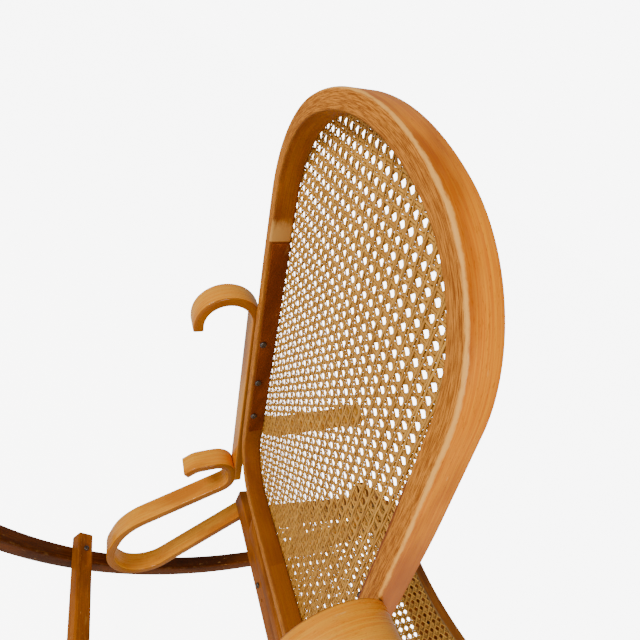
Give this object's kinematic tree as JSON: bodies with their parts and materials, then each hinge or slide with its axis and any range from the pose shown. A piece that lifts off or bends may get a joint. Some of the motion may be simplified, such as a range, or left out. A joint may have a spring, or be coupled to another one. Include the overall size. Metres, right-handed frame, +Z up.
{
  "type": "rocking chair",
  "caption": "Bentwood rocking chair with an arched cane back, cane seat, looped ribbon side frames and curved runners joined by cross bars.",
  "frame": {"origin": "middle of the footprint's bounding box, on the floor, where the runners touch it at rest", "axes": "+Z up; the sitter faces -Y; +X is the sitter's left"},
  "size_m": [0.5404, 0.85, 1.0182],
  "materials": {
    "hoop_wood": "lacquered, worn along the rear rim",
    "seat_wood": "lacquered",
    "ribbon_wood": "glossy lacquer",
    "runner_wood": "worn lacquer",
    "bar_wood": "worn lacquer",
    "dark_lining": "dark stained, satin",
    "cane": "natural woven cane",
    "cane_spline": "reed, satin",
    "screw_steel": "darkened"
  },
  "bodies": {
    "root": {"back_hoop": "hoop_wood", "back_cane": "cane", "back_cane_spline": "cane_spline", "seat_ring": "seat_wood", "seat_cane": "cane", "seat_cane_spline": "cane_spline", "rear_seat_bar": "bar_wood", "front_seat_bar": "bar_wood", "rear_runner_bar": "bar_wood", "front_runner_bar": "bar_wood", "rear_seat_bar_screws": "screw_steel", "front_seat_bar_screws": "screw_steel", "rear_runner_bar_screws": "screw_steel", "front_runner_bar_screws": "screw_steel", "left_lining_strip": "dark_lining", "right_lining_strip": "dark_lining", "left_back_ribbon": "ribbon_wood", "right_back_ribbon": "ribbon_wood", "left_arm_ribbon": "ribbon_wood", "right_arm_ribbon": "ribbon_wood", "left_scroll_ribbon": "ribbon_wood", "right_scroll_ribbon": "ribbon_wood", "left_front_loop_ribbon": "ribbon_wood", "right_front_loop_ribbon": "ribbon_wood", "left_runner": "runner_wood", "right_runner": "runner_wood", "left_back_screws": "screw_steel", "right_back_screws": "screw_steel", "left_arm_screws": "screw_steel", "right_arm_screws": "screw_steel", "left_scroll_screw": "screw_steel", "right_scroll_screw": "screw_steel"}
  },
  "joints": []
}
